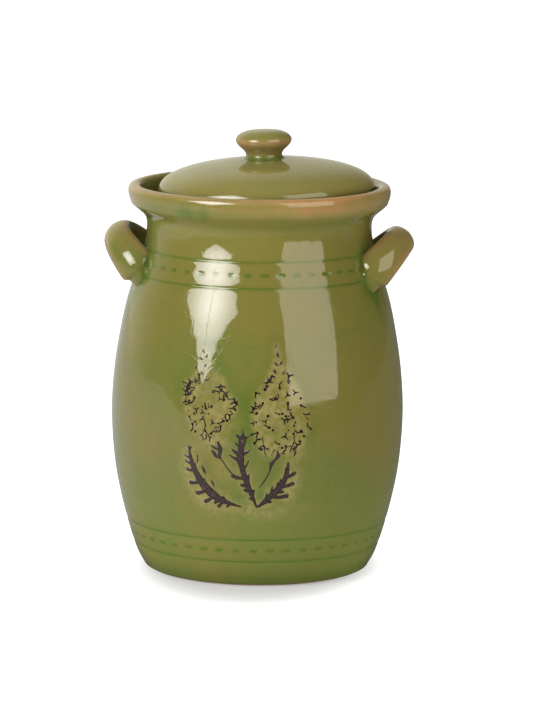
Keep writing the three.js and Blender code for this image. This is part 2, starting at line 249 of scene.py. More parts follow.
class CrockGlaze(bpy.types.PropertyGroup):
    """Colours of the glazes and the clay"""

    olive: colour("Olive", "Main colour of the glaze", (0.127, 0.114, 0.0270))
    grass: colour("Grass", "Greener patches of the glaze", (0.100, 0.113, 0.0260))
    pooled: colour("Pooled", "Glaze where it has run thick", (0.045, 0.088, 0.010))
    honey: colour("Honey", "Glaze where it has run thin", (0.200, 0.140, 0.050))
    rust: colour("Rust", "The thinnest glaze, on the edges", (0.260, 0.140, 0.055))
    cream: colour("Cream", "Pale ground of the sprig", (0.215, 0.175, 0.070))
    ink: colour("Ink", "The sprig's dark slip", (0.030, 0.019, 0.018))
    ink_edge: colour("Ink Edge", "The slip along its edges", (0.012, 0.008, 0.010))
    clay: colour("Clay", "Bare clay of the foot", (0.420, 0.270, 0.130))
    stone: colour("Stone", "Bare clay of the weighting stones", (0.560, 0.480, 0.360))


class CrockStudio(bpy.types.PropertyGroup):
    """Camera and lamps"""

    azimuth: FloatProperty(name="Azimuth", description="Camera's turn from the front",
                           default=math.radians(5), subtype="ANGLE")
    pitch: FloatProperty(name="Pitch", description="How far the camera looks down",
                         default=math.radians(9.46), subtype="ANGLE")
    roll: FloatProperty(name="Roll", description="Camera's tilt", default=math.radians(0.58), subtype="ANGLE")
    distance: FloatProperty(name="Distance", description="From the camera to the crock's middle",
                            default=3.1096, unit="LENGTH")
    lens: FloatProperty(name="Lens", description="Focal length in millimetres", default=232.9, unit="CAMERA")
    key: FloatProperty(name="Key", description="Brightness of the left lamp", default=12.8, min=0)
    fill: FloatProperty(name="Fill", description="Brightness of the right panel", default=3.0, min=0)
    top: FloatProperty(name="Top", description="Brightness of the overhead cloth", default=2.2, min=0)
    room: FloatProperty(name="Room", description="Brightness of the backdrop", default=1.0, min=0)


# ---- Node helpers ----


def put(tree, kind, inputs=(), **settings):
    """Adds a node to a tree. Each input is a plain value, or a socket that is linked to it."""
    node = tree.nodes.new(kind)
    for key, value in settings.items():
        setattr(node, key, value)
    for key, value in dict(inputs).items():
        if isinstance(value, bpy.types.NodeSocket):
            tree.links.new(value, node.inputs[key])
        else:
            node.inputs[key].default_value = value
    return node


def calc(tree, operation, *values, clamp=False):
    """A maths node's result."""
    return put(tree, "ShaderNodeMath", enumerate(values), operation=operation, use_clamp=clamp).outputs[0]


def plus(tree, *terms):
    """The sum of two or more values."""
    return functools.reduce(lambda a, b: calc(tree, "ADD", a, b), terms)


def times(tree, *factors):
    """The product of two or more values."""
    return functools.reduce(lambda a, b: calc(tree, "MULTIPLY", a, b), factors)


def vector(tree, operation, *values, output="Vector"):
    """A vector maths node's result."""
    return put(tree, "ShaderNodeVectorMath", enumerate(values), operation=operation).outputs[output]


def ramp(tree, value, low, high, bottom=0.0, top=1.0):
    """A smooth step from bottom to top while value goes from low to high."""
    return put(tree, "ShaderNodeMapRange",
               {"Value": value, "From Min": low, "From Max": high, "To Min": bottom, "To Max": top},
               interpolation_type="SMOOTHSTEP").outputs["Result"]


def blend_colours(tree, share, first, second):
    """A mix of two colours."""
    tint = [c if isinstance(c, bpy.types.NodeSocket) else (*c, 1.0) for c in (first, second)]
    return put(tree, "ShaderNodeMix", {0: share, 6: tint[0], 7: tint[1]}, data_type="RGBA").outputs[2]


def new_tree(name, sockets, result):
    """A geometry node tree with named inputs, its input node and its output node."""
    tree = bpy.data.node_groups.new(name, "GeometryNodeTree")
    for label, kind, value in sockets:
        socket = tree.interface.new_socket(name=label, in_out="INPUT", socket_type="NodeSocket" + kind)
        if value is not None:
            socket.default_value = value
    tree.interface.new_socket(name=result, in_out="OUTPUT", socket_type="NodeSocketGeometry")
    return tree, tree.nodes.new("NodeGroupInput").outputs, tree.nodes.new("NodeGroupOutput").inputs[0]


def finished(tree, mesh, material, result):
    """Ends a geometry tree with smooth, real geometry in its material."""
    mesh = put(tree, "GeometryNodeRealizeInstances", {"Geometry": mesh}).outputs[0]
    mesh = put(tree, "GeometryNodeSetShadeSmooth", {"Geometry": mesh}).outputs[0]
    mesh = put(tree, "GeometryNodeSetMaterial", {"Geometry": mesh, "Material": material}).outputs[0]
    tree.links.new(mesh, result)
    return tree


def grow(piece, tree, **values):
    """Runs a node tree on a piece with the given inputs, and keeps the result as its plain mesh."""
    modifier = piece.modifiers.new(tree.name, "NODES")
    modifier.node_group = tree
    names = {s.name: s.identifier for s in tree.interface.items_tree if s.in_out == "INPUT"}
    for label, value in values.items():
        modifier[names[label.replace("_", " ")]] = value
    graph = bpy.context.evaluated_depsgraph_get()
    mesh = bpy.data.meshes.new_from_object(piece.evaluated_get(graph), preserve_all_data_layers=True,
                                           depsgraph=graph)
    piece.modifiers.clear()
    piece.data = mesh
    mesh.name = piece.name
    return piece


# ---- Mesh helpers ----


def new_piece(name, points, faces=(), edges=(), material=None, **attributes):
    """A mesh object at the origin from points in metres, with float attributes on its points."""
    mesh = bpy.data.meshes.new(name)
    mesh.from_pydata([tuple(map(float, p)) for p in points], list(edges), [tuple(map(int, f)) for f in faces])
    mesh.update()
    for label, values in attributes.items():
        write(mesh, label, values)
    if faces is not None and len(faces):
        mesh.shade_smooth()
    if material is not None:
        mesh.materials.append(material)
    piece = bpy.data.objects.new(name, mesh)
    bpy.context.scene.collection.objects.link(piece)
    return piece


def write(mesh, label, values):
    """Stores a float for each point of a mesh."""
    layer = mesh.attributes.get(label) or mesh.attributes.new(label, "FLOAT", "POINT")
    layer.data.foreach_set("value", np.asarray(values, np.float32))


def read(mesh, label):
    """The floats that a mesh stores for each of its points."""
    values = np.zeros(len(mesh.vertices), np.float32)
    mesh.attributes[label].data.foreach_get("value", values)
    return values


def spots(mesh):
    """A mesh's points as an array."""
    values = np.zeros(len(mesh.vertices) * 3, np.float32)
    mesh.vertices.foreach_get("co", values)
    return values.reshape(-1, 3).astype(float)


def hump(values, centre, half):
    """A smooth hump of height 1 round a centre."""
    return np.exp(-(((np.asarray(values, float) - centre) / half) ** 2))


def patches(x, y, table):
    """The sum of the soft patches in a table of (along, up, half length, half height, strength)."""
    return sum(strength * hump(x, along, wide) * hump(y, up, high)
               for along, up, wide, high, strength in table)


def finder(mesh):
    """A mesh as a tree for finding points on its skin."""
    return BVHTree.FromPolygons([tuple(v.co) for v in mesh.vertices],
                                [tuple(p.vertices) for p in mesh.polygons])


def tube_faces(rings, sides):
    """Faces of a tube of rings of points, closed at both ends."""
    faces = [(i + j, i + (j + 1) % sides, i + sides + (j + 1) % sides, i + sides + j)
             for i in range(0, (rings - 1) * sides, sides) for j in range(sides)]
    return faces + [tuple(range(sides - 1, -1, -1)), tuple(range((rings - 1) * sides, rings * sides))]


def mend(piece, edge=0.0):
    """Turns a piece's faces outwards, after rounding its sharp edges by edge in metres."""
    shaped = bmesh.new()
    shaped.from_mesh(piece.data)
    if edge:
        sharp = [e for e in shaped.edges if e.calc_face_angle(0) > SHARP]
        bmesh.ops.bevel(shaped, geom=sharp, offset=edge, segments=4, profile=0.5, affect="EDGES")
    bmesh.ops.recalc_face_normals(shaped, faces=shaped.faces)
    shaped.to_mesh(piece.data)
    shaped.free()
    piece.data.shade_smooth()


def place(piece, body, slot, *nodes):
    """Makes a finished piece ride on its body, in place of its CAD nodes."""
    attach(piece, body)
    if nodes:
        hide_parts(*nodes)
    return piece


# ---- Turned pieces ----


def turning_tree():
    """Turns an outline round the Z axis, presses its dashes in and lets it wobble as a thrown pot does."""
    old = bpy.data.node_groups.get("Turned pot")
    if old:
        return old
    tree, given, result = new_tree("Turned pot", [
        ("Outline", "Geometry", None), ("Turns", "Int", 256), ("Wobble", "Float", 0.0),
        ("Dash Share", "Float", 0.46), ("Dash Depth", "Float", 0.0), ("Pivot", "Vector", (0, 0, 0)),
        ("Lean", "Float", 0.0), ("Shift", "Vector", (0, 0, 0)), ("Glaze", "Material", None)], "Pot")
    rows = put(tree, "GeometryNodeAttributeDomainSize", {"Geometry": given["Outline"]},
               component="MESH").outputs["Point Count"]
    grid = put(tree, "GeometryNodeMeshGrid", {
        "Size X": 1.0, "Size Y": 1.0, "Vertices X": plus(tree, given["Turns"], 1.0), "Vertices Y": rows})
    index = put(tree, "GeometryNodeInputIndex").outputs[0]
    row = calc(tree, "MODULO", index, rows)
    turn = calc(tree, "DIVIDE", calc(tree, "FLOOR", calc(tree, "DIVIDE", index, rows)), given["Turns"])
    angle = times(tree, turn, math.tau)

    def carried(label):
        value = put(tree, "GeometryNodeInputNamedAttribute", {"Name": label}, data_type="FLOAT").outputs[0]
        return put(tree, "GeometryNodeSampleIndex",
                   {"Geometry": given["Outline"], "Value": value, "Index": row}, data_type="FLOAT").outputs[0]

    position = put(tree, "GeometryNodeInputPosition").outputs[0]
    place_in_outline = put(tree, "GeometryNodeSampleIndex", {
        "Geometry": given["Outline"], "Value": position, "Index": row}, data_type="FLOAT_VECTOR").outputs[0]
    parts = put(tree, "ShaderNodeSeparateXYZ", {0: place_in_outline}).outputs
    radius, height = parts[0], parts[2]
    cosine, sine = calc(tree, "COSINE", angle), calc(tree, "SINE", angle)

    def at(r):
        return put(tree, "ShaderNodeCombineXYZ", {
            0: times(tree, r, cosine), 1: times(tree, r, sine), 2: height}).outputs[0]

    drift = put(tree, "ShaderNodeTexNoise", {"Vector": at(radius), "Scale": 11.0, "Detail": 1.0}).outputs[0]
    hand = put(tree, "ShaderNodeTexNoise", {"Vector": at(radius), "Scale": 60.0, "Detail": 0.0}).outputs[0]
    # The skin strays from true round, but not near the axis.
    wobble = times(tree, calc(tree, "SUBTRACT", drift, 0.5), given["Wobble"], 2.0)
    wobble = times(tree, wobble, ramp(tree, radius, 0.0, 0.05))
    # Each dash has soft ends and its own length.
    phase = calc(tree, "FRACT", times(tree, turn, carried("dash_count")))
    off = calc(tree, "ABSOLUTE", times(tree, calc(tree, "SUBTRACT", phase, 0.5), 2.0))
    half = times(tree, given["Dash Share"], plus(tree, times(tree, hand, 0.8), 0.6))
    ends = ramp(tree, off, calc(tree, "SUBTRACT", half, 0.16), plus(tree, half, 0.1), 1.0, 0.0)
    dash = times(tree, carried("dash"), ends)
    pressed = times(tree, dash, given["Dash Depth"])
    new_radius = plus(tree, calc(tree, "SUBTRACT", radius, pressed), wobble)
    turned = put(tree, "ShaderNodeVectorRotate", {"Vector": at(new_radius), "Center": given["Pivot"],
                                                  "Angle": given["Lean"]}, rotation_type="Y_AXIS").outputs[0]
    moved = vector(tree, "ADD", turned, given["Shift"])
    mesh = grid.outputs["Mesh"]
    pool = calc(tree, "ADD", carried("pool"), dash, clamp=True)
    for label, value in (("pool", pool), ("thin", carried("thin"))):
        mesh = put(tree, "GeometryNodeStoreNamedAttribute", {"Geometry": mesh, "Name": label, "Value": value},
                   data_type="FLOAT", domain="POINT").outputs[0]
    mesh = put(tree, "GeometryNodeSetPosition", {"Geometry": mesh, "Position": moved}).outputs[0]
    mesh = put(tree, "GeometryNodeMergeByDistance", {"Geometry": mesh, "Distance": 0.00001}).outputs[0]
    return finished(tree, mesh, given["Glaze"], result)


def turned(name, outline, material, pool=None, thin=None, dash=None, dash_count=None, **inputs):
    """A piece turned from (radius, height) points that run up the outside and down the inside."""
    points = np.array(outline, float)
    none = np.zeros(len(points))
    marks = {"pool": pool, "thin": thin, "dash": dash, "dash_count": dash_count}
    piece = new_piece(name, [(r * MM, 0, z * MM) for r, z in points],
                      edges=[(i, i + 1) for i in range(len(points) - 1)],
                      **{label: none if values is None else values for label, values in marks.items()})
    return grow(piece, turning_tree(), Glaze=material, **inputs)


def arc(centre, size, start, end, count=6):
    """Points on an arc from one angle to another in degrees, as (radius, height)."""
    angles = np.radians(np.linspace(start, end, count))
    return [(centre[0] + size * math.cos(a), centre[1] + size * math.sin(a)) for a in angles]


def throwing(height):
    """The shallow rings that fingers leave on the wheel, strongest on the shoulder."""
    strength = 0.003 + 0.014 * np.clip((height - 120) / 80, 0, 1)
    return strength * np.sin(height / 1.55 + 1.4 * np.sin(height / 17)) + 0.02 * np.sin(height / 5.3)


# ---- Materials ----


def surface(name):
    """A material with an empty principled shader, and its tree."""
    old = bpy.data.materials.get(name)
    if old:
        return old, None, None
    material = bpy.data.materials.new(name)
    material.use_nodes = True
    tree = material.node_tree
    tree.nodes.clear()
    shader = put(tree, "ShaderNodeBsdfPrincipled")
    put(tree, "ShaderNodeOutputMaterial", {"Surface": shader.outputs[0]})
    return material, tree, shader


def noise(tree, where, scale, detail=2.0, rough=0.5):
    """A noise value at a scale in features a metre."""
    return put(tree, "ShaderNodeTexNoise", {"Vector": where, "Scale": scale, "Detail": detail,
                                            "Roughness": rough}).outputs[0]


def mark(tree, label):
    """An attribute that the piece carries on its points."""
    return put(tree, "ShaderNodeAttribute", attribute_name=label).outputs["Fac"]


def finish(tree, shader, roughness, height):
    """Links a surface's roughness, and its fine relief as a height in metres."""
    tree.links.new(roughness, shader.inputs["Roughness"])
    bump = put(tree, "ShaderNodeBump", {"Height": height, "Strength": 1.0, "Distance": 1.0}).outputs[0]
    tree.links.new(bump, shader.inputs["Normal"])


def glaze(name, thinness=0.0, crackle=0.2, cream_share=0.0):
    """Glossy running glaze: greener where it pools, tan where it is thin, finely crackled."""
    material, tree, shader = surface(name)
    if tree is None:
        return material
    paint = bpy.context.scene.crock_glaze
    where = put(tree, "ShaderNodeTexCoord").outputs["Object"]
    broad, patch = noise(tree, where, 13.0, 3.0), noise(tree, where, 55.0, 3.0)
    mottle, grain = noise(tree, where, 260.0, 3.0, 0.6), noise(tree, where, 900.0, 2.0)
    height = put(tree, "ShaderNodeSeparateXYZ", {0: where}).outputs[2]
    low = ramp(tree, height, 0.0, 0.2, 0.22, 0.0)
    tint = blend_colours(tree, ramp(tree, plus(tree, broad, low), 0.48, 0.78), paint.olive, paint.grass)
    # Pooled glaze is greener; its edge runs unevenly.
    run = times(tree, mark(tree, "pool"), plus(tree, times(tree, patch, 0.9), 0.55))
    tint = blend_colours(tree, calc(tree, "MULTIPLY", run, 0.85, clamp=True), tint, paint.pooled)
    # Thin glaze lets the clay show, first honey and then rust.
    bare = plus(tree, mark(tree, "thin"), thinness)
    bare = times(tree, bare, plus(tree, times(tree, patch, 1.1), 0.45))
    tint = blend_colours(tree, ramp(tree, bare, 0.12, 0.75), tint, paint.honey)
    tint = blend_colours(tree, ramp(tree, bare, 0.62, 1.05), tint, paint.rust)
    # The sprig's ground is cream, flecked with green.
    ground = times(tree, mark(tree, "ground"), ramp(tree, mottle, 0.36, 0.60, 0.25, 1.0))
    ground = calc(tree, "MULTIPLY", ground, ramp(tree, patch, 0.34, 0.62, 0.4, 1.0), clamp=True)
    tint = blend_colours(tree, ground, tint, paint.cream)
    # Blends the glaze toward cream, which makes it paler.
    if cream_share:
        tint = blend_colours(tree, cream_share, tint, paint.cream)
    # Crackle: a fine net of hairlines.
    bend = put(tree, "ShaderNodeTexNoise", {"Vector": where, "Scale": 45.0, "Detail": 2.0}).outputs["Color"]
    net = vector(tree, "ADD", where, vector(tree, "MULTIPLY", bend, (0.012, 0.012, 0.012)))
    line = put(tree, "ShaderNodeTexVoronoi", {"Vector": net, "Scale": 95.0},
               feature="DISTANCE_TO_EDGE").outputs[0]
    line = times(tree, ramp(tree, line, 0.004, 0.035, 1.0, 0.0), ramp(tree, broad, 0.36, 0.58, 0.25, 1.0))
    tint = blend_colours(tree, times(tree, line, crackle), tint, paint.pooled)
    # The glaze is brighter toward the foot, a painted light that stands for the floor's glow on the lower
    # belly, and paler from the neck up.
    pale = times(tree, ramp(tree, height, 0.0, 0.1, 1.32, 1.0), ramp(tree, height, 0.2, 0.235, 1.0, 1.08))
    shade = times(tree, pale, plus(tree, times(tree, grain, 0.20), 0.90))
    tint = put(tree, "ShaderNodeVectorMath", {0: tint, 3: shade}, operation="SCALE").outputs[0]
    tree.links.new(tint, shader.inputs["Base Color"])
    shader.inputs["IOR"].default_value = 1.54
    # The skin rolls gently, with a finer orange peel, and dips along the crackle.
    skin = plus(tree, times(tree, patch, 0.00010), times(tree, mottle, 0.000012),
                times(tree, line, -0.000012))
    finish(tree, shader, ramp(tree, patch, 0.3, 0.75, 0.03, 0.08), skin)
    return material


def slip(name, plain=False):
    """The sprig's dark slip under a thin clear glaze, darker along its edges, or plain for the specks."""
    material, tree, shader = surface(name)
    if tree is None:
        return material
    paint = bpy.context.scene.crock_glaze
    where = put(tree, "ShaderNodeTexCoord").outputs["Object"]
    fine = noise(tree, where, 1400.0, 3.0, 0.65)
    if plain:
        shader.inputs["Base Color"].default_value = (*(0.5 * c for c in paint.ink_edge), 1)
        shader.inputs["Specular IOR Level"].default_value = 0.2
    else:
        patch = noise(tree, where, 320.0, 2.0)
        edge = plus(tree, mark(tree, "edge"), times(tree, calc(tree, "SUBTRACT", fine, 0.5), 0.8))
        tint = blend_colours(tree, ramp(tree, edge, 0.15, 0.8), paint.ink, paint.ink_edge)
        tint = blend_colours(tree, ramp(tree, patch, 0.62, 0.78, 0.0, 0.35), tint, paint.cream)
        tree.links.new(tint, shader.inputs["Base Color"])
    shader.inputs["IOR"].default_value = 1.5
    finish(tree, shader, ramp(tree, fine, 0.3, 0.7, 0.18, 0.34), times(tree, fine, 0.00004))
    return material


def bare_clay(name, tint_from):
    """Unglazed fired clay with grog specks and pits."""
    material, tree, shader = surface(name)
    if tree is None:
        return material
    base = tuple(getattr(bpy.context.scene.crock_glaze, tint_from))
    where = put(tree, "ShaderNodeTexCoord").outputs["Object"]
    cloud, fine = noise(tree, where, 40.0, 4.0), noise(tree, where, 700.0, 4.0, 0.65)
    grog = put(tree, "ShaderNodeTexVoronoi", {"Vector": where, "Scale": 420.0}).outputs["Distance"]
    speck = ramp(tree, grog, 0.10, 0.2, 1.0, 0.0)
    tint = blend_colours(tree, ramp(tree, cloud, 0.35, 0.68), base, tuple(0.78 * c for c in base))
    tint = blend_colours(tree, times(tree, speck, 0.5), tint, tuple(0.35 * c for c in base))
    tree.links.new(tint, shader.inputs["Base Color"])
    grit = plus(tree, times(tree, fine, 0.0002), times(tree, speck, -0.0001))
    finish(tree, shader, ramp(tree, fine, 0.2, 0.8, 0.7, 0.95), grit)
    return material


# ---- Drawing on the skin ----


def line_gap(x, y, ax, ay, bx, by):
    """How far along a line from a to b each point lies, from 0 to 1, and its distance to the line."""
    dx, dy = bx - ax, by - ay
    t = np.clip(((x - ax) * dx + (y - ay) * dy) / (dx * dx + dy * dy), 0, 1)
    return t, np.hypot(x - ax - t * dx, y - ay - t * dy)


def stroke_distance(x, y, stroke):
    """Distance in millimetres from points to a stroke of (along, up, half width), below 0 inside it."""
    best = np.full(x.shape, 1e3)
    for (ax, ay, ar), (bx, by, br) in zip(stroke[:-1], stroke[1:]):
        t, gap = line_gap(x, y, ax, ay, bx, by)
        best = np.minimum(best, gap - (ar + (br - ar) * t))
    return best


def melt(first, second, size):
    """Joins two distances with a rounded corner."""
    h = np.clip(0.5 + 0.5 * (second - first) / size, 0, 1)
    return second + (first - second) * h - size * h * (1 - h)


def leaf_strokes(leaf):
    """A leaf's smooth spine and its curling lobes, as strokes."""
    spine, lobes = leaf
    knots = np.array(spine, float)
    share = np.linspace(0, 1, len(knots))
    steps = np.linspace(0, 1, 40)
    line = np.column_stack([np.interp(steps, share, knots[:, k]) for k in range(3)])
    for _ in range(3):
        line[1:-1] = (line[:-2] + 2 * line[1:-1] + line[2:]) / 4
    strokes = [[tuple(p) for p in line]]
    for part, turn, length, neck, tip in lobes:
        i = min(int(part * 39), 38)
        along = math.atan2(*(line[i, :2] - line[i + 1, :2])[::-1])
        x, y = line[i, :2]
        lobe, heading = [(x, y, neck)], along - math.radians(turn)
        for k in range(1, 5):
            heading += math.radians(turn) * 0.10
            x, y = x + length / 4 * math.cos(heading), y + length / 4 * math.sin(heading)
            lobe.append((x, y, neck + (tip - neck) * (k / 4) ** 1.5))
        strokes.append(lobe)
    return strokes


def strokes_distance(x, y, strokes, size=0.55):
    """Distance from points to a set of melted strokes."""
    best = stroke_distance(x, y, strokes[0])
    for stroke in strokes[1:]:
        best = melt(best, stroke_distance(x, y, stroke), size)
    return best


def outline_distance(x, y, corners):
    """Distance from points to a closed outline, below 0 inside it."""
    best, inside = np.full(x.shape, 1e3), np.zeros(x.shape, bool)
    for (ax, ay), (bx, by) in zip(corners, corners[1:] + corners[:1]):
        best = np.minimum(best, line_gap(x, y, ax, ay, bx, by)[1])
        level = by - ay or 1e-9
        cross = ((ay > y) != (by > y)) & (x < (bx - ax) * (y - ay) / level + ax)
        inside ^= cross
    return np.where(inside, -best, best)


def bract_strokes():
    """The pointed bracts at the tops of the flower heads."""
    strokes = []
    for x, y, turn, length in BRACTS:
        dx, dy = math.cos(math.radians(turn)) * length / 2, math.sin(math.radians(turn)) * length / 2
        strokes.append([(x - dx, y - dy, 0.25), (x, y, 0.26 * length), (x + dx, y + dy, 0.2)])
    return strokes


def on_skin(x, y):
    """Angle round the crock and height, in radians and metres, of points drawn on the skin."""
    return math.radians(FRONT) + np.asarray(x) / SKIN_RADIUS, np.asarray(y) * MM


def laid(tree, x, y, lift):
    """Points on the belly's skin, each lifted off it by its own lift in metres."""
    angle, height = on_skin(x, y)
    points = []
    for a, z, off in zip(angle, height, lift):
        out = Vector((math.sin(a), -math.cos(a), 0))
        hit, normal, _, _ = tree.ray_cast(out * 0.2 + Vector((0, 0, z)), -out)
        if hit is None:
            raise RuntimeError("a point of the sprig misses the belly")
        points.append(hit + normal * off)
    return points


def cells(distance, box, step, pick, limit):
    """The cells of a grid whose nearest (np.minimum) or farthest (np.maximum) corner is under a limit."""
    gx, gy = np.meshgrid(np.arange(box[0], box[1], step), np.arange(box[2], box[3], step), indexing="ij")
    far = distance(gx, gy)
    index = np.arange(far.size).reshape(far.shape)
    used = pick.reduce([far[:-1, :-1], far[1:, :-1], far[:-1, 1:], far[1:, 1:]]) < limit
    faces = np.stack([index[:-1, :-1], index[1:, :-1], index[1:, 1:], index[:-1, 1:]], -1)[used]
    keep, faces = np.unique(faces, return_inverse=True)
    return gx.ravel()[keep], gy.ravel()[keep], far.ravel()[keep], faces.reshape(-1, 4)


def relief(name, distance, box, step, lift, material, tree):
    """A low relief with closed sides on the skin, wherever distance(x, y) is below zero."""
    x, y, d, faces = cells(distance, box, step, np.minimum, step * 0.9)
    share = np.clip(0.5 - d / 0.7, 0, 1)
    share = share * share * (3 - 2 * share)
    top = laid(tree, x, y, lift * (1.9 * share - 0.95))
    back = laid(tree, x, y, np.full(len(x), -0.0006))
    count = len(top)
    edges = {}
    for face in faces.tolist():
        for a, b in zip(face, face[1:] + face[:1]):
            edges[(a, b)] = edges.get((a, b), 0) + 1
    sides = [(b, a, a + count, b + count) for (a, b) in edges if (b, a) not in edges]
    every = faces.tolist() + [[i + count for i in reversed(f)] for f in faces.tolist()] + sides
    edge = np.clip(1 + d / 0.9, 0, 1)
    return new_piece(name, top + back, every, material=material, edge=np.concatenate([edge, edge]))


def head_tree():
    """Scatters dark specks, in single strokes, forks and beads, over a flower head."""
    tree, given, result = new_tree("Flower specks", [
        ("Ground", "Geometry", None), ("Spacing", "Float", 0.002), ("Seed", "Int", 3),
        ("Slip", "Material", None)], "Specks")

    def bead(length, width, shift=(0, 0, 0), turn=0.0):
        ball = put(tree, "GeometryNodeMeshUVSphere", {"Segments": 7, "Rings": 4, "Radius": 1.0}).outputs[0]
        return put(tree, "GeometryNodeTransform", {
            "Geometry": ball, "Translation": shift, "Rotation": (0, 0, turn),
            "Scale": (length, width, 0.00016)}).outputs[0]

    def joined(*parts):
        node = put(tree, "GeometryNodeJoinGeometry")
        for part in parts:
            tree.links.new(part, node.inputs[0])
        return node.outputs[0]

    stroke = joined(bead(0.0021, 0.00042), bead(0.0009, 0.00080, (0.0016, 0.0001, 0)))
    fork = joined(bead(0.0016, 0.00042, (0.0011, 0, 0)), bead(0.0015, 0.00040, (-0.0006, 0.0010, 0), 2.1),
                  bead(0.0013, 0.00044, (-0.0006, -0.0008, 0), -2.0), bead(0.0008, 0.0007, (0.0001, 0, 0)))
    hook = joined(bead(0.0017, 0.00042, (0.0011, 0, 0)), bead(0.0013, 0.00046, (-0.0005, 0.0008, 0), 2.3),
                  bead(0.0008, 0.00074, (0.0024, 0, 0)))
    dot = joined(bead(0.00085, 0.00070))
    kinds = put(tree, "GeometryNodeGeometryToInstance")
    for kind in (dot, hook, fork, stroke):
        tree.links.new(kind, kinds.inputs[0])
    share = put(tree, "GeometryNodeInputNamedAttribute", {"Name": "share"}, data_type="FLOAT").outputs[0]
    points = put(tree, "GeometryNodeDistributePointsOnFaces", {
        "Mesh": given["Ground"], "Distance Min": given["Spacing"], "Density Max": 900000.0,
        "Density Factor": share, "Seed": given["Seed"]}, distribute_method="POISSON").outputs

    def chance(kind, low, high, seed):
        node = put(tree, "FunctionNodeRandomValue", {"Seed": seed}, data_type=kind)
        pair = [s for s in node.inputs if s.enabled and s.name in ("Min", "Max")]
        pair[0].default_value, pair[1].default_value = low, high
        return [s for s in node.outputs if s.enabled][0]

    spin = put(tree, "FunctionNodeAxisAngleToRotation", {
        "Axis": (0, 0, 1), "Angle": chance("FLOAT", 0.0, math.tau, 5)}).outputs[0]
    turn = put(tree, "FunctionNodeRotateRotation", {
        "Rotation": points["Rotation"], "Rotate By": spin}, rotation_space="LOCAL").outputs[0]
    placed = put(tree, "GeometryNodeInstanceOnPoints", {
        "Points": points["Points"], "Instance": kinds.outputs[0], "Pick Instance": True,
        "Instance Index": chance("INT", 0, 3, 9), "Rotation": turn,
        "Scale": chance("FLOAT", 0.65, 1.35, 2)}).outputs[0]
    return finished(tree, placed, given["Slip"], result)


# ---- The pieces ----


class CROCK_OT_belly(bpy.types.Operator):
    """Throws the belly with its incised bands, hollow inside"""

    bl_idname = "crock.belly"
    bl_label = "Belly"

    def execute(self, context):
        shape = context.scene.crock_shape
        rows = [np.arange(*row) for row in ROWS]
        heights = np.unique(np.round(np.concatenate([*rows, [NECK_ROW]]), 3))
        skin = skin_radius(heights) + throwing(heights)
        pool, lip = np.zeros(len(heights)), np.zeros(len(heights))
        for line in GROOVES:
            skin -= shape.groove / MM * (hump(heights, line, 0.7) + 0.7 * hump(heights, line, 2.2))
            pool += 0.78 * hump(heights, line, 0.62) + 0.12 * hump(heights, line, 1.8)
            lip += 0.10 * hump(heights, line + 2.4, 1.2)
        pool += 0.45 * hump(heights, 3, 5)
        dash, count = np.zeros(len(heights)), np.full(len(heights), float(DASH_COUNT))
        for row, number in DASHES:
            dash += hump(heights, row, 1.15)
            count[np.abs(heights - row) < 12] = number
        inside = NECK_INSIDE + [(r - WALL, z) for z, r in table_curve(BELLY_INSIDE, 24)]
        inside += arc(FLOOR_CORNER, 12, -15, -90, 6) + [(45, FLOOR), (25, FLOOR), (0, FLOOR)]
        outline = UNDERSIDE + list(zip(skin, heights)) + NECK_EDGE + inside
        before, after = np.zeros(len(UNDERSIDE)), np.zeros(len(NECK_EDGE) + len(inside))

        def whole(values):
            return np.concatenate([before, values, after])

        belly = turned("belly", outline, glaze("belly_glaze"), pool=whole(pool), thin=whole(lip),
                       dash=whole(dash), dash_count=whole(count), Turns=shape.turns, Wobble=shape.wobble,
                       Dash_Share=shape.dash_share, Dash_Depth=shape.dash_depth)
        self.colour_sprig_ground(belly.data)
        place(belly, "crock", "green_glaze", "crock_body")
        return {"FINISHED"}

    @staticmethod
    def colour_sprig_ground(mesh):
        """Marks the pale ground round the sprig, and the green runs beside its leaves."""
        at = spots(mesh)
        angle = np.arctan2(at[:, 0], -at[:, 1]) - math.radians(FRONT)
        x, y = angle * SKIN_RADIUS, at[:, 2] / MM
        out = np.hypot(at[:, 0], at[:, 1]) / MM > skin_radius(y) - 3
        heads = np.minimum(outline_distance(x, y, HEAD_LEFT), outline_distance(x, y, HEAD_RIGHT))
        leaves = [strokes_distance(x, y, leaf_strokes(leaf)) for _, leaf, _ in LEAVES]
        near = np.minimum.reduce(leaves)
        # The ground spreads below the outer leaves and stops short above them.
        below = np.minimum(leaves[0] + 0.9 * np.clip((x + 45) * 0.06 + (y - 78) * 0.10, 0, 9),
                           leaves[2] + 0.9 * np.clip(4 - x * 0.2 + (y - 72) * 0.10, 0, 9))
        ground = np.clip(1.0 - heads / 3.0, 0, 1) * 0.95
        ground = np.maximum(ground, 0.85 * np.clip(1.15 - below / 6.0, 0, 1))
        ground = np.maximum(ground, 0.55 * np.clip(1.1 - near / 2.2, 0, 1))
        ground = np.clip(np.maximum(ground, 0.8 * patches(x, y, PALE_PATCHES)), 0, 1)
        green = 0.75 * np.clip(1.1 - leaves[1] / 6.5, 0, 1) * np.clip((y - 80) / 12, 0, 1)
        green += patches(x, y, GREEN_PATCHES)
        green += 0.35 * hump(heads, 4.5, 4.0) * np.clip((y - 96) / 10, 0, 1)
        write(mesh, "ground", ground * out * (1 - 0.7 * np.clip(green, 0, 1)))
        write(mesh, "pool", np.clip(read(mesh, "pool") + 0.62 * np.clip(green, 0, 1) * out, 0, 1))


class CROCK_OT_foot(bpy.types.Operator):
    """Turns the bare clay ring that the crock stands on"""

    bl_idname = "crock.foot"
    bl_label = "Foot"

    def execute(self, context):
        foot = turned("foot_ring", FOOT_RING, bare_clay("foot_clay", "clay"), Turns=256)
        place(foot, "crock", "bare_foot")
        return {"FINISHED"}


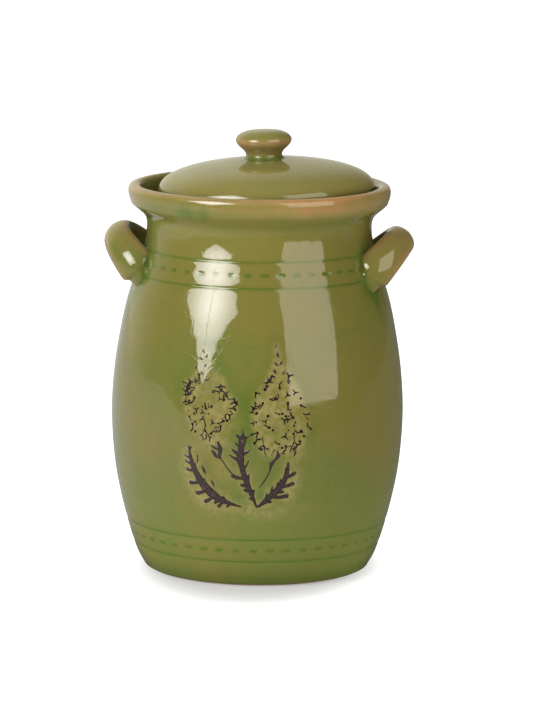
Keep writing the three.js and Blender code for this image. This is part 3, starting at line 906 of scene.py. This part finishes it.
class CROCK_OT_rim(bpy.types.Operator):
    """Turns the water channel with its flared rim and its inner wall"""

    bl_idname = "crock.rim"
    bl_label = "Rim and Water Channel"

    def execute(self, context):
        outer, inner, size = MOUTH_EDGES
        outline = CHANNEL_UNDER + RIM_LIP + [(r, z) for z, r in table_curve(RIM, 26)] + CHANNEL
        outline += arc(outer, size, 0, 90) + arc(inner, size, 90, 180) + CHANNEL_INSIDE
        r, z = np.array(outline).T
        out = r > 75.5
        pool = 0.55 * hump(z, 245.8, 1.6) * (r < 77) + 0.1 * hump(z, 240, 2) * out
        thin = 0.12 * np.clip((z - 238) / 8, 0, 1) + 0.7 * hump(z, 259.8, 2.4) * out
        thin += 0.35 * hump(z, 254, 4) * (r > 84) + 0.7 * hump(z, 262, 1.5) * (r < 63)
        rim = turned("rim", outline, glaze("channel_glaze", crackle=0.06), pool=pool, thin=thin, Turns=384,
                     Wobble=context.scene.crock_shape.wobble)
        at = spots(rim.data)
        angle = np.arctan2(at[:, 0], -at[:, 1])
        run, warm = (sum(strength * hump(angle, middle, half) for middle, half, strength in table)
                     for table in (RIM_RUNS, RIM_WARMTH))
        face = (np.hypot(at[:, 0], at[:, 1]) > 0.080) * hump(at[:, 2], 0.251, 0.006)
        write(rim.data, "pool", np.clip(read(rim.data, "pool") + run * face, 0, 1))
        write(rim.data, "thin", read(rim.data, "thin") * (0.65 + 0.6 * warm) + 0.35 * warm * face)
        place(rim, "crock", "rim_glaze", "channel_shelf", "rim_wall", "mouth_wall")
        return {"FINISHED"}


class CROCK_OT_handles(bpy.types.Operator):
    """Bends the two ear handles and lutes them on the shoulder"""

    bl_idname = "crock.handles"
    bl_label = "Handles"

    def execute(self, context):
        straight = np.linspace(-HANDLE_TAIL, 0, HANDLE_STRAIGHT + 1)[:-1]
        bend = np.linspace(-math.pi / 2, math.pi / 2, HANDLE_BEND)
        path = np.array([(a, -HANDLE_SPREAD) for a in straight]
                        + [(HANDLE_REACH * math.cos(a), HANDLE_SPREAD * math.sin(a)) for a in bend]
                        + [(a, HANDLE_SPREAD) for a in straight[::-1]])
        ahead = np.gradient(path, axis=0)
        ahead /= np.linalg.norm(ahead, axis=1)[:, None]
        across = np.column_stack([ahead[:, 1], -ahead[:, 0]])
        rise, fall = math.cos(HANDLE_RISE), math.sin(HANDLE_RISE)
        angles = np.linspace(0, math.tau, STRAP_SIDES, endpoint=False)

        def swell(values):
            return np.sign(values) * np.abs(values) ** (2 / STRAP_SQUARENESS)

        points, thin, pool = [], [], []
        for (a, b), (na, nb) in zip(path, across):
            share = min(max(a / HANDLE_REACH, 0), 1)
            centre_r = math.hypot(HANDLE_ROOT[0] + a * rise, b)
            off = max(centre_r - float(skin_radius(HANDLE_ROOT[1] + a * fall)), 0)
            root, thickening = math.exp(-((off / 1.7) ** 2)), math.exp(-((off / 14) ** 2))
            width = STRAP_WIDTH / 2 * (STRAP_FLARE + (1 - STRAP_FLARE) * share) * (1 - 0.24 * root)
            thick = STRAP_THICKNESS / 2 * (1 + 0.50 * thickening - 0.16 * root)
            for angle in angles:
                w, t = width * swell(math.cos(angle)), thick * swell(math.sin(angle))
                x, y, z = a + na * t, b + nb * t, w
                x, z = HANDLE_ROOT[0] + x * rise - z * fall, HANDLE_ROOT[1] + x * fall + z * rise
                gap = math.hypot(x, y) - float(skin_radius(min(z, 240)))
                points.append((x * MM, y * MM, z * MM))
                blotch = 0.8 * hump(b, 22, 5) * hump(w, -4, 4) * (t > 0)
                pool.append(min(1.0, math.exp(-max(gap, 0) / 1.9) * 1.05 + float(blotch)))
                thin.append(0.50 * abs(math.cos(angle)) ** 3 + 0.30 * (math.sin(angle) > 0.2) * share)
        faces = tube_faces(len(path), STRAP_SIDES)
        coat, belly = glaze("handle_glaze", thinness=0.12, crackle=0.08), bpy.data.objects["belly"].data
        for name, node, way in (("handle_right", "right_handle", 1), ("handle_left", "left_handle", -1)):
            handle = new_piece(name, [(way * x, way * y, z) for x, y, z in points], faces,
                               material=coat, pool=pool, thin=thin)
            mend(handle)
            place(handle, "crock", "green_glaze", node)
            self.pool_round(belly, handle.data)
        return {"FINISHED"}

    @staticmethod
    def pool_round(skin, handle):
        """Lets the glaze pool on the belly along a handle's joint."""
        tree, at, pool = finder(handle), spots(skin), read(skin, "pool")
        beside = at[:, 0] * (1 if handle.vertices[0].co.x > 0 else -1) > 0.05
        near = np.nonzero((at[:, 2] > 0.175) & (at[:, 2] < 0.236) & beside
                          & (np.hypot(at[:, 0], at[:, 1]) / MM > skin_radius(at[:, 2] / MM) - 3))[0]
        for i in near:
            _, _, _, gap = tree.find_nearest(Vector(at[i]))
            pool[i] = min(1.0, pool[i] + 1.8 * math.exp(-gap / 0.0030))
        # Each end of the handle sheds a run of glaze down the belly.
        y, z = at[:, 1] / MM, at[:, 2] / MM
        runs = hump(y, -30, 4.5) * np.clip((z - 168) / 24, 0, 1)
        runs += hump(y, 31, 4) * np.clip((z - 178) / 18, 0, 1)
        pool = np.clip(pool + 0.85 * runs * (z < 204) * beside, 0, 1)
        write(skin, "pool", pool)


class CROCK_OT_lid(bpy.types.Operator):
    """Turns the lid with its skirt, and the knob on it"""

    bl_idname = "crock.lid"
    bl_label = "Lid and Knob"

    def execute(self, context):
        swell = LID_TOP - LID_THICKNESS - LID_HOLLOW_TOP
        top = []
        for i in range(47):
            across = math.sin(math.pi / 2 * i / 46) ** 0.6
            rise = math.sqrt(max(0.0, 1 - across**LID_SQUARENESS))
            crown = LID_CROWN * (1 - max(across, KNOB_SEAT / LID_RADIUS) ** CROWN_POWER)
            top.append((LID_RADIUS * across, LID_BULGE + (LID_SHOULDER - LID_BULGE) * rise + crown))
        outline = [(r, LID_HOLLOW_TOP + swell * (1 - (r / LID_HOLLOW_RADIUS) ** 2))
                   for r in (0, 12, 24, 36, 48, LID_HOLLOW_RADIUS)]
        outline += arc((LID_HOLLOW_RADIUS, LID_HOLLOW_TOP - LID_HOLLOW_CORNER), LID_HOLLOW_CORNER, 84, 0, 8)
        outline += SKIRT[:2] + arc(SKIRT[2], 2, -180, 0, 12) + SKIRT[3:] + top[::-1]
        r, z = np.array(outline).T
        dome = z > LID_BULGE - 1
        pool = 0.95 * hump(r, 13.6, 1.3) * (z > 275) + 0.35 * hump(z, 255, 2.0) * (r > 71)
        thin = 0.16 * dome * hump(r, 70.5, 4.5)
        lean = {"Pivot": (0, 0, LID_BULGE * MM), "Lean": math.radians(-LID_LEAN)}
        lid = turned("lid", outline, glaze("lid_glaze", thinness=0.10, crackle=0.05, cream_share=0.2), pool=pool,
                     thin=thin, Turns=384, Wobble=0.00025, Shift=(LID_SHIFT * MM, 0, 0), **lean)
        place(lid, "lid", "green_glaze", "lid_dome")
        tip = LID_TOP + KNOB_GAP + KNOB_HEIGHT
        outline = [(r, LID_TOP + z) for r, z in KNOB_BASE]
        outline += [(r, LID_TOP + KNOB_GAP + z) for z, r in table_curve(KNOB, 52)]
        outline += [(r, tip + z) for r, z in KNOB_TIP]
        r, z = np.array(outline).T
        pool = hump(z, LID_TOP + 0.6, 1.5)
        thin = 0.62 * hump(z, LID_TOP + 11.8, 2.2) + 0.3 * hump(z, LID_TOP + 7, 4)
        shift = ((LID_SHIFT + KNOB_SHIFT) * MM, 0, 0)
        knob = turned("knob", outline, glaze("knob_glaze", thinness=0.14, crackle=0.05, cream_share=0.12), pool=pool,
                      thin=thin, Turns=192, Wobble=0.0002, Shift=shift, **lean)
        place(knob, "lid", "green_glaze", "lid_knob")
        return {"FINISHED"}


class CROCK_OT_sprig(bpy.types.Operator):
    """Lays the sprig's leaves, stalks and flower heads on the belly"""

    bl_idname = "crock.sprig"
    bl_label = "Sprig"

    def execute(self, context):
        shape = context.scene.crock_shape
        skin = finder(bpy.data.objects["belly"].data)
        dark, specks = slip("sprig_slip"), slip("speck_slip", plain=True)
        for name, leaf, box in LEAVES:
            strokes = leaf_strokes(leaf)
            piece = relief(name, lambda x, y, s=strokes: strokes_distance(x, y, s), box, 0.34,
                           shape.relief, dark, skin)
            place(piece, "crock", "inlay")
        lines = STALKS + bract_strokes()
        stalks = relief("stalks_and_bracts", lambda x, y: strokes_distance(x, y, lines, 0.2), STALKS_BOX,
                        0.3, shape.relief, dark, skin)
        place(stalks, "crock", "inlay")
        tree = bpy.data.node_groups.get("Flower specks") or head_tree()
        for name, corners, seed in HEADS:
            ground = self.ground(name, corners, skin)
            grow(ground, tree, Spacing=shape.speck_gap, Seed=seed, Slip=specks)
            place(ground, "crock", "inlay")
        return {"FINISHED"}

    @staticmethod
    def ground(name, corners, skin):
        """The part of the skin that a flower head covers, marked with how thick its specks grow."""
        at = np.array(corners)
        (left, low), (right, top) = at.min(axis=0) - 1, at.max(axis=0) + 2
        x, y, d, faces = cells(lambda gx, gy: outline_distance(gx, gy, corners), (left, right, low, top), 0.9,
                               np.maximum, 0.9)
        # Specks grow thickest along the edge and in loose clumps, and hardly at all under the bracts.
        share = 0.16 + 0.5 * hump(d, -1.2, 2.0) + 0.25 * hump(np.sin(x * 0.8) * np.cos(y * 0.6), 0.6, 0.35)
        share *= np.clip((at[:, 1].max() - 17 - y) / 6, 0.02, 1)
        return new_piece(name, laid(skin, x, y, np.full(len(x), 0.00002)), faces, share=share)


class CROCK_OT_stones(bpy.types.Operator):
    """Cuts the two half-moon weighting stones"""

    bl_idname = "crock.stones"
    bl_label = "Weighting Stones"

    def execute(self, context):
        clay = bare_clay("weight_clay", "stone")
        end = math.pi / 2 - math.asin(STONE_GAP / 2 / STONE_RADIUS)
        angles = np.linspace(-end, end, STONE_POINTS)
        rim = [(STONE_RADIUS * math.cos(a), STONE_RADIUS * math.sin(a)) for a in angles]
        for name, node, body, way in (("stone_right", "weight_stone_right", "stone_right", 1),
                                      ("stone_left", "weight_stone_left", "stone_left", -1)):
            points = [(way * x * MM, way * y * MM, z * MM)
                      for z in (STONE_BOTTOM, STONE_BOTTOM + STONE_THICKNESS) for x, y in rim]
            stone = new_piece(name, points, tube_faces(2, STONE_POINTS), material=clay)
            mend(stone, STONE_EDGE * MM)
            place(stone, body, "stone_clay", node)
        return {"FINISHED"}


# ---- The studio ----

LIT_POINT = Vector((0, 0, 0.15))  # what the lamps face, in metres
AIM_HEIGHT, AIM_ACROSS = 0.1435, 0.0058  # what the camera faces, in metres
FLOOR_CORNERS = [(-9, -9), (9, -9), (9, 9), (-9, 9)]
TABLE = [(-4, -1.2), (-0.6, -0.72), (0.5, -0.38), (1.6, 0.1), (4, 0.6), (4, 5), (-4, 5)]
TABLE_DROP = -0.002  # the table lies just under the floor
KEY_PLACE, KEY_HALF, KEY_SEAM = (-38, 25.5, 1.5), 0.655, 0.004  # degrees round, degrees up, metres
FILL_PLACE = (51, 22, 1.6)
FILL_CORNERS = [(-0.68, -0.72), (0.60, -0.72), (0.60, 0.75), (-0.68, 0.75)]
TOP_CORNERS = [(-1.2, -0.6, 2.2), (1.2, -0.6, 2.2), (1.2, 1.8, 2.2), (-1.2, 1.8, 2.2)]


def emitter(name, tint, strength):
    """A material that gives off light. Its strength is a number, or a function that adds nodes for it."""
    material = bpy.data.materials.new(name)
    material.use_nodes = True
    tree = material.node_tree
    tree.nodes.clear()
    strength = strength(tree) if callable(strength) else strength
    glow = put(tree, "ShaderNodeEmission", {"Color": (*tint, 1), "Strength": strength})
    put(tree, "ShaderNodeOutputMaterial", {"Surface": glow.outputs[0]})
    return material


def facing(azimuth, elevation):
    """The directions back, across and up of something that faces the crock from two angles in radians."""
    back = Vector((math.sin(azimuth) * math.cos(elevation), -math.cos(azimuth) * math.cos(elevation),
                   math.sin(elevation)))
    across = Vector((math.cos(azimuth), math.sin(azimuth), 0))
    return back, across, back.cross(across)


def aimed(azimuth, elevation, distance, corners):
    """Corners (in metres, across and up) of a flat cloth that faces the crock from a direction in degrees."""
    back, across, up = facing(math.radians(azimuth), math.radians(elevation))
    return [LIT_POINT + back * distance + across * x + up * y for x, y in corners]


class CROCK_OT_studio(bpy.types.Operator):
    """Sets the pale floor, the backdrop, the soft lamps and the camera"""

    bl_idname = "crock.studio"
    bl_label = "Studio"

    def execute(self, context):
        scene, studio = context.scene, context.scene.crock_studio
        scene.view_settings.view_transform = "Standard"
        self.floor()
        self.lamps(studio)
        self.room(scene, studio)
        self.camera(scene, studio)
        return {"FINISHED"}

    @staticmethod
    def floor():
        """A pale floor with a painted shadow round the crock, and a table under it that only reflections see,
        so that gloss stays soft.
        """
        material, tree, shader = surface("studio_floor")
        where = put(tree, "ShaderNodeTexCoord").outputs["Object"]
        tint = blend_colours(tree, noise(tree, where, 3.0), (0.295, 0.295, 0.295), (0.305, 0.305, 0.305))
        tree.links.new(tint, shader.inputs["Base Color"])
        shader.inputs["Roughness"].default_value = 1.0
        shader.inputs["Specular IOR Level"].default_value = 0.0
        # The floor glows as a lit cloth would, so that it runs into the backdrop. Its glow fades in an oval
        # round the crock and is dimmest in front of it: a painted shadow.
        shader.inputs["Emission Color"].default_value = (1, 1, 1, 1)
        away = vector(tree, "LENGTH", vector(tree, "MULTIPLY", where, (11.3, 6.67, 0)), output="Value")
        out_of_painted_shadow = calc(tree, "POWER", ramp(tree, away, 0.47, 1.10), 2.0)
        tree.links.new(plus(tree, times(tree, out_of_painted_shadow, 0.70), 0.34), shader.inputs["Emission Strength"])
        floor = new_piece("studio_floor", [(x, y, 0) for x, y in FLOOR_CORNERS], [(0, 1, 2, 3)],
                          material=material)
        floor.visible_glossy = False

        def glow_with_painted_shadow(tree):
            where = put(tree, "ShaderNodeTexCoord").outputs["Object"]
            away = vector(tree, "LENGTH", where, output="Value")
            left = ramp(tree, put(tree, "ShaderNodeSeparateXYZ", {0: where}).outputs[0], -0.5, 0.2, 1.25, 0.3)
            # The glow is weakest round the crock's foot, a painted shadow in its reflections, and strongest
            # to the left.
            return times(tree, ramp(tree, away, 0.07, 0.2, 0.15, 0.55), left)

        table = new_piece("studio_table", [(x, y, TABLE_DROP) for x, y in TABLE], [tuple(range(len(TABLE)))],
                          material=emitter("studio_table", (1, 1, 1), glow_with_painted_shadow))
        table.visible_camera = table.visible_diffuse = table.visible_shadow = False

    @staticmethod
    def lamps(studio):
        """A key cloth of two triangles with a seam between them, a plain fill cloth, and one overhead."""
        half, seam = KEY_HALF, KEY_SEAM
        middle = tuple(aimed(*KEY_PLACE, [(0, 0)])[0])

        def brightest_in_the_middle(tree):
            where = put(tree, "ShaderNodeTexCoord").outputs["Object"]
            off = vector(tree, "DISTANCE", where, middle, output="Value")
            return ramp(tree, off, 0.0, 0.60, 1.25 * studio.key, 0.50 * studio.key)

        corners = [(-seam, -half), (-seam, half), (-half, 0), (seam, half), (seam, -half), (half, 0)]
        key = new_piece("lamp_key", aimed(*KEY_PLACE, corners), [(0, 1, 2), (3, 4, 5)],
                        material=emitter("key_cloth", (1.0, 0.985, 0.95), brightest_in_the_middle))
        fill = new_piece("lamp_fill", aimed(*FILL_PLACE, FILL_CORNERS), [(0, 1, 2, 3)],
                         material=emitter("fill_cloth", (1.0, 0.93, 0.82), studio.fill))
        top = new_piece("lamp_top", TOP_CORNERS, [(0, 1, 2, 3)],
                        material=emitter("top_cloth", (1, 1, 1), studio.top))
        top.visible_glossy = False
        for lamp in (key, fill, top):
            lamp.visible_camera = False

    @staticmethod
    def room(scene, studio):
        """A pale backdrop behind and beside the crock, and a dark room on the camera's side."""
        world = bpy.data.worlds.new("studio_room")
        world.use_nodes = True
        tree = world.node_tree
        tree.nodes.clear()
        way = put(tree, "ShaderNodeTexCoord").outputs["Generated"]
        right, away, high = put(tree, "ShaderNodeSeparateXYZ", {0: way}).outputs
        slant = calc(tree, "SUBTRACT", away, times(tree, right, 0.14))
        strength = times(tree, ramp(tree, slant, -0.05, 0.85, 0.03, studio.room),
                         ramp(tree, high, 0.45, 0.95, 1.0, 0.45), ramp(tree, right, -0.5, 0.5, 1.0, 0.08))
        glow = put(tree, "ShaderNodeBackground", {"Color": (1.0, 0.985, 0.80, 1), "Strength": strength})
        put(tree, "ShaderNodeOutputWorld", {"Surface": glow.outputs[0]})
        scene.world = world

    @staticmethod
    def camera(scene, studio):
        """A long lens that looks slightly down on the crock, a little round from its front."""
        back, across, up = facing(studio.azimuth, studio.pitch)
        aim, roll = Vector((0, 0, AIM_HEIGHT)) + across * AIM_ACROSS, studio.roll
        tilted = across * math.cos(roll) + up * math.sin(roll), up * math.cos(roll) - across * math.sin(roll)
        data = bpy.data.cameras.new("studio_camera")
        data.lens, data.sensor_width = studio.lens, 36.0
        data.clip_start, data.clip_end = 0.05, 60.0
        camera = bpy.data.objects.new("studio_camera", data)
        camera.matrix_world = Matrix.Translation(aim + back * studio.distance) @ Matrix(
            (*tilted, back)).transposed().to_4x4()
        scene.collection.objects.link(camera)
        scene.camera = camera


STEPS = (CROCK_OT_belly, CROCK_OT_foot, CROCK_OT_rim, CROCK_OT_handles, CROCK_OT_lid, CROCK_OT_sprig,
         CROCK_OT_stones, CROCK_OT_studio)


class CROCK_PT_panel(bpy.types.Panel):
    """Lists the crock's pieces and settings"""

    bl_idname = "CROCK_PT_panel"
    bl_label = "Fermenting Crock"
    bl_space_type = "VIEW_3D"
    bl_region_type = "UI"
    bl_category = "Crock"

    def draw(self, context):
        for step in STEPS:
            self.layout.operator(step.bl_idname)
        for name in ("crock_shape", "crock_glaze", "crock_studio"):
            group = getattr(context.scene, name)
            box = self.layout.box()
            for key in group.__annotations__:
                box.prop(group, key)


GROUPS = {"crock_shape": CrockShape, "crock_glaze": CrockGlaze, "crock_studio": CrockStudio}


def register():
    for part in (*GROUPS.values(), *STEPS, CROCK_PT_panel):
        bpy.utils.register_class(part)
    for name, group in GROUPS.items():
        setattr(bpy.types.Scene, name, PointerProperty(type=group))


def unregister():
    for name in GROUPS:
        delattr(bpy.types.Scene, name)
    for part in (CROCK_PT_panel, *reversed(STEPS), *reversed(list(GROUPS.values()))):
        bpy.utils.unregister_class(part)


def main():
    register()
    for step in STEPS:
        group, name = step.bl_idname.split(".")
        getattr(getattr(bpy.ops, group), name)()


if __name__ == "__main__":
    main()
